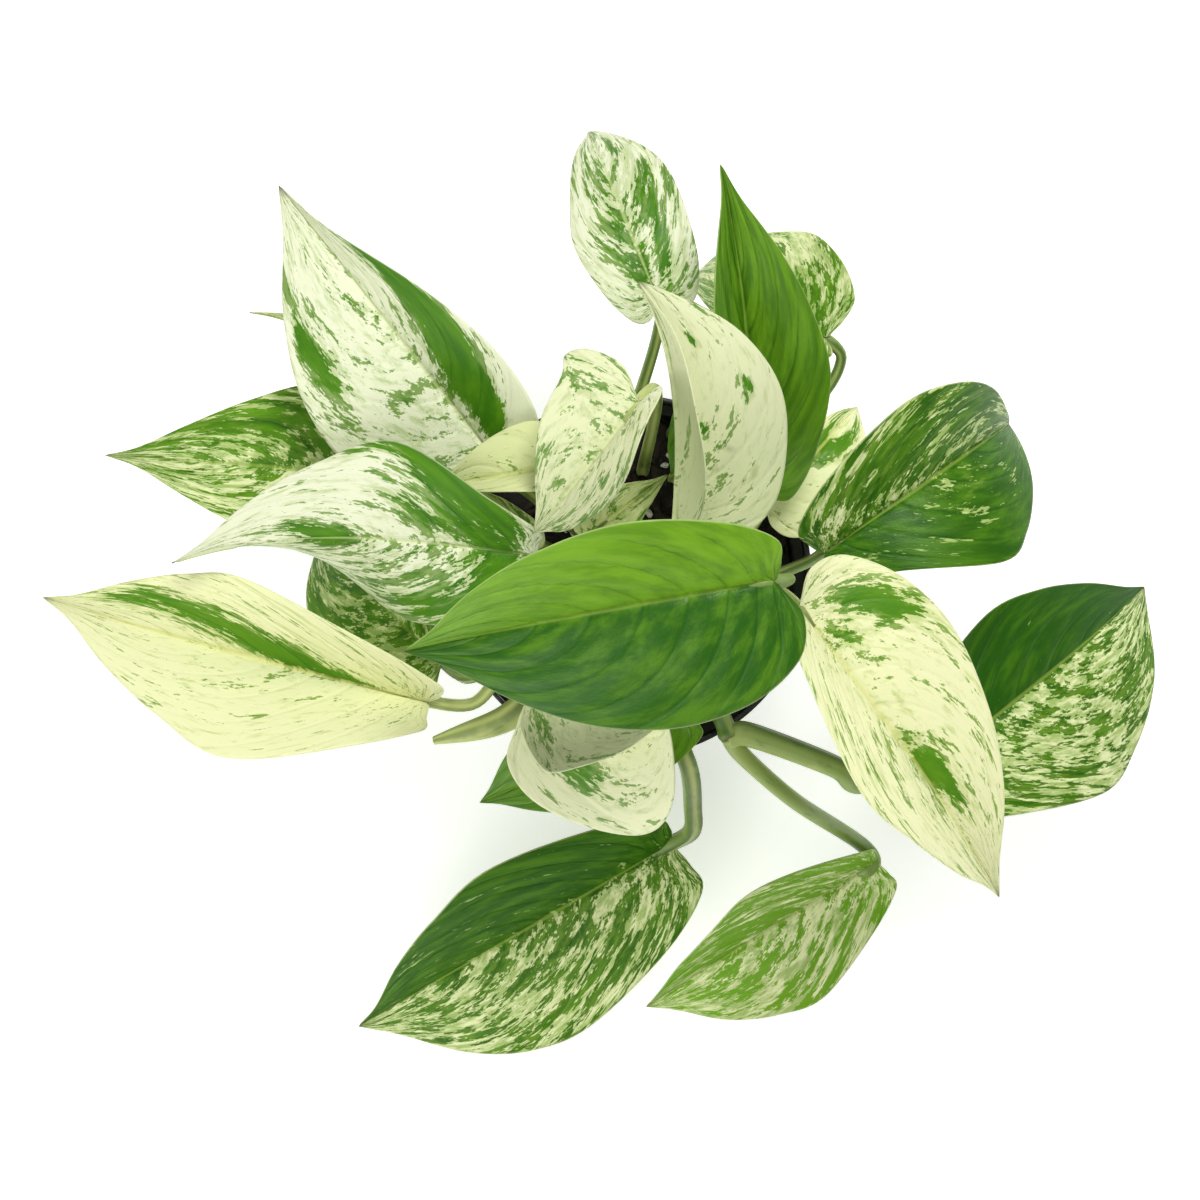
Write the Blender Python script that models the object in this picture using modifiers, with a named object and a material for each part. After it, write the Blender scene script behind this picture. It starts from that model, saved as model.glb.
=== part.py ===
"""A variegated pothos growing in a small round nursery pot.

Metres, +Z up. The origin is the middle of the pot's underside, and the pot stands on z = 0.
A leaf blade is a sheet laid along its midrib: the midrib is an arc in space, and each half of the
blade leaves it at a fold angle and bends on by a cup angle on its way to the margin.
"""

import math
from collections import namedtuple

import bmesh
import bpy
from mathutils import Vector

MM = 0.001

# The pot: a thin moulded cone with a rolled lip and a ring of drain holes.
POT_HEIGHT = 95 * MM
POT_RIM_RADIUS = 54 * MM
POT_BASE_RADIUS = 38 * MM
POT_WALL = 1.4 * MM
POT_FLOOR = 2.0 * MM
POT_LIP_HEIGHT = 9 * MM
POT_LIP_STEP = 2.2 * MM
POT_SIDES = 40
DRAIN_HOLES = 6
DRAIN_HOLE_RADIUS = 3.5 * MM
DRAIN_RING_RADIUS = 25 * MM

# The potting soil stops short of the rim, which leaves room for water.
SOIL_BELOW_RIM = 12 * MM
SOIL_DOME = 3 * MM

SOIL_Z = POT_HEIGHT - SOIL_BELOW_RIM

# Blades. A heading turns mostly near the tip, by this power of the share along the midrib.
LEAF_THICKNESS = 0.8 * MM
HEADING_LAG = 2.0

# Stems. Every root is laid out for a soil surface of this radius, and moves with the soil's edge.
VINE_RADIUS = 2.8 * MM
SHEATH_SWELL = 1.35
VINE_SWELL = 1.1
ROOT_LAYOUT_RADIUS = 48.36 * MM

# The young sheath's radius from its root to its point, as shares of the vine's.
BUD_TAPER = (0.6, 0.7, 0.8, 0.9, 0.9, 0.8, 0.5, 0.15)

# Gaps: between neighbours, under a root as a share of its radius, under a blade, behind a sinus,
# and between a stem's skin and the lip.
GAP = 0.3 * MM
ROOT_LIFT = 0.6
BLADE_CLEARANCE = 2.4 * MM
BEHIND_CLEARANCE = 1.0 * MM
LIP_CLEARANCE = 1.5 * MM

# A petiole's bend, as shares of the straight span from root to blade: how far it rises before it
# leans, how far it leans outwards on the way, and how far out its last stretch is set. Even a
# short one rises enough to clear the lip.
RISE_SHARE = 0.42
LEAN_SHARE = 0.12
REACH_SHARE = 0.30
LEAST_RISE = 1.75 * SOIL_BELOW_RIM

# How a petiole meets its blade: shares of the midrib's forward and up directions.
ARRIVAL_FORWARD = 0.55
ARRIVAL_UP = 0.83

# Mesh steps: rows from the sinus to the tip, columns from margin to margin.
BLADE_ROWS = 10
BLADE_COLUMNS = 6
MIDRIB_STEPS = 24
TUBE_POINTS = 8
TUBE_RESOLUTION = 2

# A blade half's outline: how far its lobe reaches behind the base, how full its shoulder is, where
# along the midrib it is widest, and how full it is towards the tip.
Shape = namedtuple("Shape", "lobe shoulder peak taper")
HEART = Shape(0.06, 1.0, 0.30, 1.0)
SLIM = Shape(0.03, 0.75, 0.38, 0.95)

Leaf = namedtuple("Leaf", "base length width heading pitch fold cup shape roll root stalk colour")


def leaf(base, length, width, heading, pitch, fold=(12, 12), cup=(-25, -25),
         shape=(HEART, HEART), roll=0, root=(0, 0), stalk=1.6, colour="marbled"):
    """One leaf's design, in millimetres and degrees.

    base is where the petiole meets the blade, with its height over the rim. heading runs from +X
    towards +Y and pitch is upwards, each as (at the base, at the tip). width, fold, cup and shape
    are (left half, right half) as seen along the heading; a fold may be ((base, tip), (base, tip)).
    root is where the petiole leaves the soil, and stalk is its radius.
    """
    pairs = tuple(f if isinstance(f, tuple) else (f, f) for f in fold)
    return Leaf(base, length, width, heading, pitch, pairs, cup, shape, roll, root, stalk, colour)


LEAVES = {
    "leaf_top_green": leaf(
        (38, -2, 95), 109, (37, 30), (190, 193), (4, -36), fold=(0, 52), cup=(-30, -20),
        shape=(HEART, Shape(0.02, 0.85, 0.32, 1.0)), root=(14, -12), colour="green"),
    "leaf_white_folded": leaf(
        (13, 13, 42), 77, (18, 31), (88, 122), (42, 0), fold=((118, 112), (4, 10)), cup=(-10, -22),
        shape=(SLIM, Shape(0.05, 1.0, 0.34, 1.4)), root=(8, 2), colour="white"),
    "leaf_dark_tall": leaf(
        (37, 25, 18), 101, (22, 23), (95, 103), (43, 2), fold=(60, 22), cup=(-10, -25),
        shape=(SLIM, SLIM), root=(17, 19), colour="green"),
    "leaf_back_striped": leaf(
        (8, 79, 28), 76, (17, 18), (112, 106), (12, -80), fold=(6, 4),
        shape=(Shape(0.06, 0.9, 0.34, 0.6), Shape(0.06, 1.0, 0.32, 1.35)), root=(-2, 40)),
    "leaf_back_right": leaf(
        (57, 69, 20), 78, (10, 27), (150, 138), (-26, -84), fold=(10, 6),
        shape=(HEART, Shape(0.03, 0.9, 0.33, 1.0)), root=(26, 24)),
    "leaf_back_pale": leaf(
        (33, 54, -24), 40, (9, 10), (112, 116), (-10, -50),
        shape=(Shape(0.0, 0.8, 0.3, 1.0), Shape(0.0, 0.8, 0.3, 1.0)), colour="pale"),
    "leaf_cream_patch": leaf(
        (40, 20, 6), 50, (8, 18), (48, 46), (26, -70), root=(28, 2), colour="cream"),
    "leaf_right_marbled": leaf(
        (54, 6, 55), 89, (27, 31), (35, 31), (12, -78), fold=(46, 12), cup=(-20, -20),
        shape=(Shape(0.02, 0.8, 0.40, 1.0), Shape(0.0, 0.42, 0.46, 1.2)), root=(24, -6)),
    "leaf_cream_front": leaf(
        (46, -9, 68), 112, (32, 29), (-52, -60), (0, -42), fold=(2, 60), cup=(-25, -15),
        shape=(Shape(0.06, 1.0, 0.30, 0.9), Shape(0.0, 0.6, 0.40, 0.85)), root=(24, -12),
        colour="cream"),
    "leaf_far_right": leaf(
        (88, -57, 2), 109, (27, 41), (36, 38), (-10, -54), fold=(22, 4), cup=(-20, -30),
        shape=(SLIM, Shape(0.03, 0.66, 0.44, 1.1)), stalk=3.0),
    "leaf_front_low": leaf(
        (13, -83, -45), 124, (38, 33), (211, 213), (-6, -32), fold=(2, 52), cup=(-20, -15),
        shape=(Shape(0.02, 0.75, 0.44, 1.25), Shape(0.03, 0.75, 0.38, 0.8)), stalk=2.6),
    "leaf_white_curled": leaf(
        (-30, -36, 26), 52, (25, 36), (-16, 25), (-5, 75), fold=((138, 126), (-6, 0)), cup=(0, -30),
        shape=(Shape(0.01, 0.8, 0.32, 1.1), Shape(0.02, 0.9, 0.46, 1.4)), root=(-8, -30),
        colour="white"),
    "leaf_shade_front": leaf(
        (17, -41, 16), 75, (16, 20), (203, 205), (-6, -42), fold=(20, 30), shape=(SLIM, SLIM),
        root=(-2, -20), colour="green"),
    "leaf_front_right_low": leaf(
        (76, -88, -35), 87, (28, 24), (213, 215), (-8, -20), fold=(4, 60), cup=(-25, -10),
        shape=(Shape(0.02, 0.6, 0.44, 1.2), SLIM), stalk=2.3),
    "leaf_back_left": leaf(
        (-39, 33, 22), 101, (36, 24.5), (128, 129), (12, 0), fold=(4, (40, 60)), cup=(-25, -15),
        shape=(Shape(0.06, 1.0, 0.30, 1.2), Shape(0.06, 1.05, 0.27, 0.75)), root=(-16, 14),
        colour="white_green"),
    "leaf_left_marbled": leaf(
        (-66, 28, 8), 95, (24, 26), (174, 177), (-4, -22), fold=(16, 16),
        shape=(Shape(0.04, 1.0, 0.3, 0.7), Shape(0.04, 1.0, 0.3, 0.6)), root=(-24, 8)),
    "leaf_left_white": leaf(
        (-28, 6, 36), 108, (29, 30), (173, 200), (4, -20), fold=((14, -112), (48, 8)),
        cup=(-20, -25), shape=(SLIM, Shape(0.01, 0.5, 0.37, 0.65)), root=(-12, 2),
        colour="white_green"),
    "leaf_far_left_cream": leaf(
        (-60, -37, 10), 122, (43, 25), (166, 163), (2, -20), fold=((62, 44), (60, 10)),
        cup=(-10, -20), shape=(Shape(0.01, 0.62, 0.38, 0.7), Shape(0.03, 0.7, 0.47, 0.85)),
        stalk=1.9, colour="cream"),
    "leaf_shade_left": leaf(
        (-56, -26, -4), 76, (27, 10), (137, 137), (-20, -64),
        shape=(HEART, Shape(0.0, 0.8, 0.3, 1.0))),
    "leaf_small_cream": leaf(
        (-16, 32, 42), 42, (9, 14), (189, 187), (-8, -20), fold=(60, 16), root=(-14, 24),
        colour="pale"),
    "leaf_heart_white": leaf(
        (2, 48, 67), 53, (21, 22), (232, 227), (-7, -47), fold=((74, 46), 8), cup=(-10, -30),
        shape=(Shape(0.14, 1.0, 0.28, 1.0), Shape(0.10, 1.5, 0.16, 0.95)), root=(4, 32),
        colour="white"),
    "leaf_hidden_left": leaf(
        (-66, 52, -12), 59, (11, 11), (138, 178), (6, -24), fold=(14, 14), roll=76,
        colour="pale"),
    "leaf_inner_pale": leaf(
        (-30, 8.5, 9), 28, (9, 9), (136, 140), (34, 0), fold=(50, 50), root=(-18, -3),
        colour="pale"),
    "leaf_inner_striped": leaf(
        (-12, 12, 10), 30, (10, 10), (38, 36), (24, 6), fold=(50, 50), root=(-2, 4),
        colour="pale"),
    "leaf_inner_dark": leaf(
        (25, 50, 28), 27, (9, 9), (236, 240), (-8, -40), root=(13, 43), colour="green"),
}


def spline(points, t):
    """A smooth curve through evenly spaced points, at t from 0 to 1."""
    spans = len(points) - 1
    i = min(int(t * spans), spans - 1)
    f = t * spans - i
    before = points[i - 1] if i else [2 * a - b for a, b in zip(points[0], points[1])]
    after = points[i + 2] if i + 2 <= spans else [2 * a - b for a, b in zip(points[-1], points[-2])]
    return [
        0.5 * (2 * p1 + (p2 - p0) * f + (2 * p0 - 5 * p1 + 4 * p2 - p3) * f * f
               + (3 * p1 - 3 * p2 + p3 - p0) * f ** 3)
        for p0, p1, p2, p3 in zip(before, points[i], points[i + 1], after)
    ]


def mix(pair, share):
    return pair[0] + (pair[1] - pair[0]) * share


def outline(shape):
    """Half of a blade's edge, from the sinus round the basal lobe to the tip.

    Each point is a share of the length along the midrib and a share of the half width.
    """
    rest = 1 - shape.peak
    return (
        (-0.010, 0.035),
        (-shape.lobe, 0.30 * shape.shoulder),
        (-0.5 * shape.lobe, 0.62 * shape.shoulder),
        (0.36 * shape.peak, 0.90 * shape.shoulder ** 0.6),
        (shape.peak, 1.00),
        (shape.peak + 0.30 * rest, 0.86 * shape.taper ** 0.3),
        (shape.peak + 0.58 * rest, 0.56 * shape.taper ** 0.6),
        (shape.peak + 0.82 * rest, 0.20 * shape.taper),
        (1.000, 0.00),
    )


class Midrib:
    """The arc that a blade is laid along, with its side and up directions."""

    def __init__(self, design):
        x, y, z = design.base
        self.design = design
        self.length = design.length * MM
        place = Vector((x * MM, y * MM, POT_HEIGHT + z * MM))
        self.stations = []
        for step in range(MIDRIB_STEPS + 1):
            forward, side, up = self.directions(step / MIDRIB_STEPS)
            self.stations.append((place.copy(), forward, side, up))
            place += forward * self.length / MIDRIB_STEPS

    def directions(self, share):
        heading = math.radians(mix(self.design.heading, share ** HEADING_LAG))
        pitch = math.radians(mix(self.design.pitch, share))
        roll = math.radians(self.design.roll)
        forward = Vector((math.cos(pitch) * math.cos(heading), math.cos(pitch) * math.sin(heading),
                          math.sin(pitch)))
        level = Vector((-math.sin(heading), math.cos(heading), 0))
        above = forward.cross(level)
        side = level * math.cos(roll) + above * math.sin(roll)
        return forward, side, forward.cross(side)

    def at(self, share):
        """Place, side and up at a share of the length; the lobes behind the base go straight on."""
        spot = max(0.0, min(share, 1.0)) * MIDRIB_STEPS
        i = min(int(spot), MIDRIB_STEPS - 1)
        first, second = self.stations[i], self.stations[i + 1]
        place, forward, side, up = (a.lerp(b, spot - i) for a, b in zip(first, second))
        place = place + forward * min(share, 0.0) * self.length
        return place, side.normalized(), up.normalized()


def blade_point(midrib, row, across):
    """A point of the blade: row from the sinus to the tip, across from -1, right, to 1, left."""
    design = midrib.design
    reach = abs(across)
    half = 0 if across > 0 else 1
    along_edge, out_edge = spline(outline(design.shape[half]), row)
    start = row ** 1.5
    along = start + (along_edge - start) * reach ** 1.25
    width = design.width[half] * MM
    out = max(out_edge, 0.0) * reach
    fold = math.radians(mix(design.fold[half], max(along, 0.0)))
    cup = math.radians(design.cup[half]) or 1e-6
    place, side, up = midrib.at(along)
    sideways = (math.sin(fold + cup * out) - math.sin(fold)) * width / cup
    rise = (math.cos(fold) - math.cos(fold + cup * out)) * width / cup
    return place + side * (sideways if across > 0 else -sideways) + up * rise


def clear_scene():
    for item in list(bpy.data.objects):
        bpy.data.objects.remove(item)


def collection(name):
    group = bpy.data.collections.new(name)
    bpy.context.scene.collection.children.link(group)
    return group


def material(name, colour, roughness):
    made = bpy.data.materials.new(name)
    made.use_nodes = True
    shader = made.node_tree.nodes["Principled BSDF"]
    shader.inputs["Base Color"].default_value = (*colour, 1)
    shader.inputs["Roughness"].default_value = roughness
    shader.inputs["Metallic"].default_value = 0
    return made


def add(name, data, group, finish):
    made = bpy.data.objects.new(name, data)
    group.objects.link(made)
    if finish is not None:
        data.materials.append(finish)
    return made


def turned(name, profile, group, finish):
    """A profile of (radius, height) pairs turned about Z; equal points and axis points weld."""
    mesh = bpy.data.meshes.new(name)
    mesh.from_pydata([(r, 0, z) for r, z in profile],
                     [(i, i + 1) for i in range(len(profile) - 1)], [])
    made = add(name, mesh, group, finish)
    screw = made.modifiers.new("turn", "SCREW")
    screw.steps = screw.render_steps = POT_SIDES
    screw.use_merge_vertices = True
    screw.merge_threshold = 0.05 * MM
    screw.use_smooth_shade = True
    return made


def wall_radius(z):
    """The pot's outer radius at a height, below the lip."""
    top = POT_RIM_RADIUS - POT_LIP_STEP
    return POT_BASE_RADIUS + (top - POT_BASE_RADIUS) * z / POT_HEIGHT


def make_pot(group, cutters, finish):
    lip_foot = POT_HEIGHT - POT_LIP_HEIGHT
    rounding = POT_WALL / 2
    inner_floor = wall_radius(POT_FLOOR) - POT_WALL
    profile = [
        (POT_RIM_RADIUS - rounding, POT_HEIGHT),
        (POT_RIM_RADIUS, POT_HEIGHT - rounding),
        (POT_RIM_RADIUS, lip_foot),
        (wall_radius(lip_foot), lip_foot - POT_LIP_STEP / 2),
        (POT_BASE_RADIUS, rounding),
        (POT_BASE_RADIUS - rounding, 0),
        (0, 0),
        (0, POT_FLOOR),
        (inner_floor, POT_FLOOR),
        (wall_radius(lip_foot) - POT_WALL, lip_foot),
        (POT_RIM_RADIUS - POT_WALL, lip_foot + POT_LIP_STEP),
        (POT_RIM_RADIUS - POT_WALL, POT_HEIGHT - rounding),
        (POT_RIM_RADIUS - rounding, POT_HEIGHT),
    ]
    pot = turned("pot", profile, group, finish)
    for i in range(DRAIN_HOLES):
        angle = math.tau * i / DRAIN_HOLES
        tool = bmesh.new()
        bmesh.ops.create_cone(tool, cap_ends=True, segments=12, radius1=DRAIN_HOLE_RADIUS,
                              radius2=DRAIN_HOLE_RADIUS, depth=4 * POT_FLOOR)
        mesh = bpy.data.meshes.new("drain_cutter")
        tool.to_mesh(mesh)
        tool.free()
        cutter = add(f"drain_cutter_{i}", mesh, cutters, None)
        cutter.location = (DRAIN_RING_RADIUS * math.cos(angle), DRAIN_RING_RADIUS * math.sin(angle),
                           POT_FLOOR / 2)
        cutter.hide_render = True
        cutter.display_type = "WIRE"
        hole = pot.modifiers.new(f"drain_{i}", "BOOLEAN")
        hole.operation = "DIFFERENCE"
        hole.object = cutter
    return pot


def soil_height(radius):
    """The soil's surface, a low dome."""
    edge = soil_radius(SOIL_Z)
    return SOIL_Z + SOIL_DOME * (1 - min(radius / edge, 1.0) ** 2)


def soil_radius(z):
    return wall_radius(z) - POT_WALL - GAP


def make_soil(group, finish):
    foot = POT_FLOOR + GAP
    edge = soil_radius(SOIL_Z)
    rings = 4
    dome = [(edge * i / rings, soil_height(edge * i / rings)) for i in range(rings + 1)]
    profile = dome + [(soil_radius(foot), foot), (0, foot)]
    return turned("soil", profile, group, finish)


def bezier(a, b, c, d, t):
    u = 1 - t
    return a * u ** 3 + b * 3 * u * u * t + c * 3 * u * t * t + d * t ** 3


def tube(name, points, radii, group, finish):
    curve = bpy.data.curves.new(name, "CURVE")
    curve.dimensions = "3D"
    curve.bevel_depth = 1.0
    curve.bevel_resolution = TUBE_RESOLUTION
    curve.use_fill_caps = True
    line = curve.splines.new("POLY")
    line.points.add(len(points) - 1)
    for spot, place, radius in zip(line.points, points, radii):
        spot.co = (*place, 1)
        spot.radius = radius
    return add(name, curve, group, finish)


def route(stops, count):
    """Evenly counted points on a smooth curve through the stops."""
    return [Vector(spline(stops, i / (count - 1))) for i in range(count)]


def arrival(midrib):
    """Where a petiole ends under its blade, and the direction it comes in."""
    place, forward, _, up = midrib.stations[0]
    direction = (forward * ARRIVAL_FORWARD + up * ARRIVAL_UP).normalized()
    return place - direction * BLADE_CLEARANCE, direction


def beside(midrib, x, y, z):
    """A point this many millimetres from where a petiole ends under its blade."""
    return arrival(midrib)[0] + Vector((x, y, z)) * MM


def arrival_behind(midrib, radius):
    """Where a petiole that comes down to its blade ends, just behind the sinus."""
    place, forward, _, _ = midrib.stations[0]
    return place - forward * (radius + BEHIND_CLEARANCE)


def emerge(root, radius):
    """Where a stem leaves the soil, and a point straight over that."""
    x, y = (v * MM * soil_radius(SOIL_Z) / ROOT_LAYOUT_RADIUS for v in root)
    start = Vector((x, y, soil_height(math.hypot(x, y)) + GAP + radius * ROOT_LIFT))
    return [start, start + Vector((0, 0, 3 * radius))]


def petiole_points(design, midrib):
    start = emerge(design.root, design.stalk * MM)[0]
    end, direction = arrival(midrib)
    span = (end - start).length
    lean = Vector((end.x - start.x, end.y - start.y, 0)) * LEAN_SHARE
    rise = Vector((0, 0, max(span * RISE_SHARE, LEAST_RISE)))
    before_end = end - direction * span * REACH_SHARE
    return [bezier(start, start + rise + lean, before_end, end, i / (TUBE_POINTS - 1))
            for i in range(TUBE_POINTS)]


def over_rim(direction_deg, beyond=0.0, above=0.0):
    """A point over the pot's lip, clear of it, in a direction from the pot's axis."""
    angle = math.radians(direction_deg)
    radius = POT_RIM_RADIUS + beyond * MM
    lift = VINE_RADIUS + LIP_CLEARANCE + above * MM
    return Vector((radius * math.cos(angle), radius * math.sin(angle), POT_HEIGHT + lift))


def swell(count, radius, base=SHEATH_SWELL):
    """Radii of a petiole, whose sheath makes it thicker near the root."""
    return [radius * (1 + (base - 1) * (1 - i / (count - 1)) ** 2) for i in range(count)]


def make_blade(name, design, midrib, group, finish):
    grid = bmesh.new()
    bmesh.ops.create_grid(grid, x_segments=BLADE_COLUMNS, y_segments=BLADE_ROWS, size=1)
    for vert in grid.verts:
        vert.co = blade_point(midrib, (vert.co.y + 1) / 2, vert.co.x)
    bmesh.ops.remove_doubles(grid, verts=grid.verts, dist=0.02 * MM)
    mesh = bpy.data.meshes.new(name)
    grid.to_mesh(mesh)
    grid.free()
    mesh.shade_smooth()
    blade = add(name, mesh, group, finish)
    shell = blade.modifiers.new("thickness", "SOLIDIFY")
    shell.thickness = LEAF_THICKNESS
    shell.offset = 0
    shell.use_even_offset = False
    return blade


def trailing_stops(ribs, vine_end):
    """The stops of each petiole that goes over the rim; offsets here are in millimetres."""
    stops = {}
    start = vine_end + Vector((2.4 * VINE_RADIUS, 0, 0))
    blade = ribs["leaf_far_right"]
    stops["leaf_far_right"] = [start, start + Vector((24, -9, -1)) * MM,
                               beside(blade, -18, -4, -4), beside(blade, 0, 0, 0)]
    start = vine_end + Vector((1.4, -2.1, -1.0)) * VINE_RADIUS
    blade = ribs["leaf_front_right_low"]
    stops["leaf_front_right_low"] = [start, start + Vector((16, -14, -8)) * MM,
                                     beside(blade, -6, 5, 0), beside(blade, 0, 0, 0)]
    for name, root, angle in (
        ("leaf_shade_left", (-24, -6), 212),
        ("leaf_hidden_left", (-24, 20), 141),
    ):
        over = [over_rim(angle, -8, 1), over_rim(angle, 3, -1)]
        stops[name] = emerge(root, LEAVES[name].stalk * MM) + over + [beside(ribs[name], 0, 0, 0)]
    stalk = LEAVES["leaf_front_low"].stalk * MM
    end = arrival_behind(ribs["leaf_front_low"], stalk)
    stops["leaf_front_low"] = emerge((8, -30), stalk) + [
        over_rim(-74, -6, 1), over_rim(-73, 6, -6), end + Vector((3, 12, 22)) * MM,
        end + Vector((3, 3, 8)) * MM, end]
    stalk = LEAVES["leaf_back_pale"].stalk * MM
    end = arrival_behind(ribs["leaf_back_pale"], stalk)
    stops["leaf_back_pale"] = emerge((14, 30), stalk) + [
        over_rim(57, -8, 1), over_rim(57, 3, -1), end + Vector((-1, -1, 10)) * MM, end]
    stalk = LEAVES["leaf_far_left_cream"].stalk * MM
    stops["leaf_far_left_cream"] = emerge((-20, -14), stalk) + [
        over_rim(217, -8), over_rim(219, 6), beside(ribs["leaf_far_left_cream"], 0, 0, 0)]
    return stops


def main():
    clear_scene()
    plant = collection("potted_pothos")
    cutters = collection("cutters")
    finishes = {
        "green": material("green_leaf", (0.08, 0.26, 0.03), 0.35),
        "marbled": material("marbled_leaf", (0.28, 0.46, 0.16), 0.38),
        "white": material("white_leaf", (0.80, 0.84, 0.66), 0.42),
        "white_green": material("white_green_leaf", (0.70, 0.80, 0.52), 0.40),
        "cream": material("cream_leaf", (0.84, 0.86, 0.50), 0.42),
        "pale": material("pale_leaf", (0.68, 0.76, 0.44), 0.42),
        "petiole": material("petiole", (0.34, 0.48, 0.12), 0.40),
        "vine": material("vine", (0.20, 0.36, 0.08), 0.45),
        "pot": material("black_plastic", (0.012, 0.012, 0.014), 0.38),
        "soil": material("soil", (0.025, 0.018, 0.013), 0.95),
    }
    make_pot(plant, cutters, finishes["pot"])
    make_soil(plant, finishes["soil"])

    ribs = {name: Midrib(design) for name, design in LEAVES.items()}
    for name, design in LEAVES.items():
        make_blade(name, design, ribs[name], plant, finishes[design.colour])

    # The vine that leans over the rim, and the petioles that grow from it or trail over the rim.
    right_vine = route(emerge((18, -18), VINE_RADIUS) + [over_rim(-55, -12, 1), over_rim(-58, 2)],
                       TUBE_POINTS)
    tube("vine_right", right_vine, swell(TUBE_POINTS, VINE_RADIUS, VINE_SWELL), plant,
         finishes["vine"])
    trailing = trailing_stops(ribs, right_vine[-1])
    for name, design in LEAVES.items():
        if name in trailing:
            points = route(trailing[name], TUBE_POINTS)
        else:
            points = petiole_points(design, ribs[name])
        tube(name.replace("leaf", "petiole"), points, swell(TUBE_POINTS, design.stalk * MM), plant,
             finishes["petiole"])

    bud_stops = emerge((-22, -26), VINE_RADIUS) + [
        over_rim(231, -8, 1), over_rim(228, 4), over_rim(220, 22, -3)]
    tube("bud_left", route(bud_stops, len(BUD_TAPER)), [VINE_RADIUS * r for r in BUD_TAPER], plant,
         finishes["petiole"])


main()
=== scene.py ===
"""The looks of a variegated pothos in a small black nursery pot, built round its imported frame.

Metres, +Z up. Each leaf blade repeats the frame's blade maths on a much finer grid, with its veins,
channel and ripples, and is set on its own node's box. Lengths in the leaf table and in the stems'
stops are millimetres, and angles are degrees.
"""

import math
import random
from collections import namedtuple

import bmesh
import bpy
import numpy as np
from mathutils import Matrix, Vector, noise


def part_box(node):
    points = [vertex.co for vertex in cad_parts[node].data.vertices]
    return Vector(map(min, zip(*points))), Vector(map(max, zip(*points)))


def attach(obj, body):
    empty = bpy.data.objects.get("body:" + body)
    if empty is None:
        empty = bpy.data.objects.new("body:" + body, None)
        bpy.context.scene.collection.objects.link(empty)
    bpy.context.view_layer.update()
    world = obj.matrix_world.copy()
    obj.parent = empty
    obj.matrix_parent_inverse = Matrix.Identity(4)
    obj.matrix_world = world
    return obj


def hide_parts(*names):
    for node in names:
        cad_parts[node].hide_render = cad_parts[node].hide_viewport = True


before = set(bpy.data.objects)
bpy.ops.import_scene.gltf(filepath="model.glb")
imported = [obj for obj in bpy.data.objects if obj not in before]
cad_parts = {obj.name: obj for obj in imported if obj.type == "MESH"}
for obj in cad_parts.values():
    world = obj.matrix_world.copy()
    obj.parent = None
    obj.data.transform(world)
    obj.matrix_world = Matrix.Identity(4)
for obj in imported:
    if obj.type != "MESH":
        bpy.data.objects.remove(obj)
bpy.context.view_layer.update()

MM = 0.001
BODY = "root"

# The pot and soil as the frame has them.
POT_LOW, POT_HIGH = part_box("pot")
SOIL_LOW, SOIL_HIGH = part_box("soil")
POT_HEIGHT = POT_HIGH.z
RIM_RADIUS = (POT_HIGH.x - POT_LOW.x) / 2
SOIL_DOME = 3 * MM
SOIL_EDGE_Z = SOIL_HIGH.z - SOIL_DOME
POT_WALL = 1.4 * MM
POT_FLOOR = 2.0 * MM
POT_BASE_RADIUS = 38 * MM
LIP_HEIGHT = 9 * MM
LIP_STEP = 2.2 * MM
POT_STEPS = 120
DRAIN_HOLES = 6
DRAIN_HOLE_RADIUS = 3.5 * MM
DRAIN_RING_RADIUS = 25 * MM
FLOOR_RAISE = 1.2 * MM
WALL_BEAD = 0.5 * MM
CORNER_RADIUS = 0.7 * MM
TURNED_WELD = 0.02 * MM
SOIL_GAP = 0.3 * MM
GRAIN_MARGIN = 2.5 * MM

# Leaf and stem detail.
BLADE_ROWS = 60
HALF_COLUMNS = (0.0, 0.02, 0.04, 0.065, 0.10, 0.15, 0.21, 0.28, 0.36, 0.45, 0.54, 0.63, 0.72, 0.80,
                0.87, 0.93, 0.97, 1.0)
BLADE_WELD = 0.02 * MM
FLESH_SCATTER = 0.8 * MM
BLADE_THICKNESS = 0.36 * MM
RIB_THICKNESS = 1.7 * MM
RIB_WIDTH = 1.1 * MM
CHANNEL_DEPTH = 0.7 * MM
CHANNEL_WIDTH = 1.0 * MM
VEIN_SWEEP = 0.34
VEIN_SPACING = 13.0
MIDRIB_STEPS = 24
HEADING_LAG = 2.0
VINE_RADIUS = 2.8 * MM
LIP_CLEARANCE = 1.5 * MM
BLADE_CLEARANCE = 2.4 * MM
BEHIND_CLEARANCE = 1.0 * MM
PETIOLE_STOPS = 12
RISE_SHARE = 0.42
LEAN_SHARE = 0.12
REACH_SHARE = 0.30
ARRIVAL_FORWARD = 0.55
ARRIVAL_UP = 0.83
LEAST_LIFT = 21 * MM
ROOT_DEPTH = 5 * MM
BUD_DEPTH = 4 * MM
STEM_POINTS = 44
STEM_SIDES = 20


# ---------------------------------------------------------------- finishes

def tint(code):
    """A linear colour from a hex code."""
    shares = [int(code[i:i + 2], 16) / 255 for i in (0, 2, 4)]
    return tuple(s / 12.92 if s <= 0.04045 else ((s + 0.055) / 1.055) ** 2.4 for s in shares) + (1,)


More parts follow.
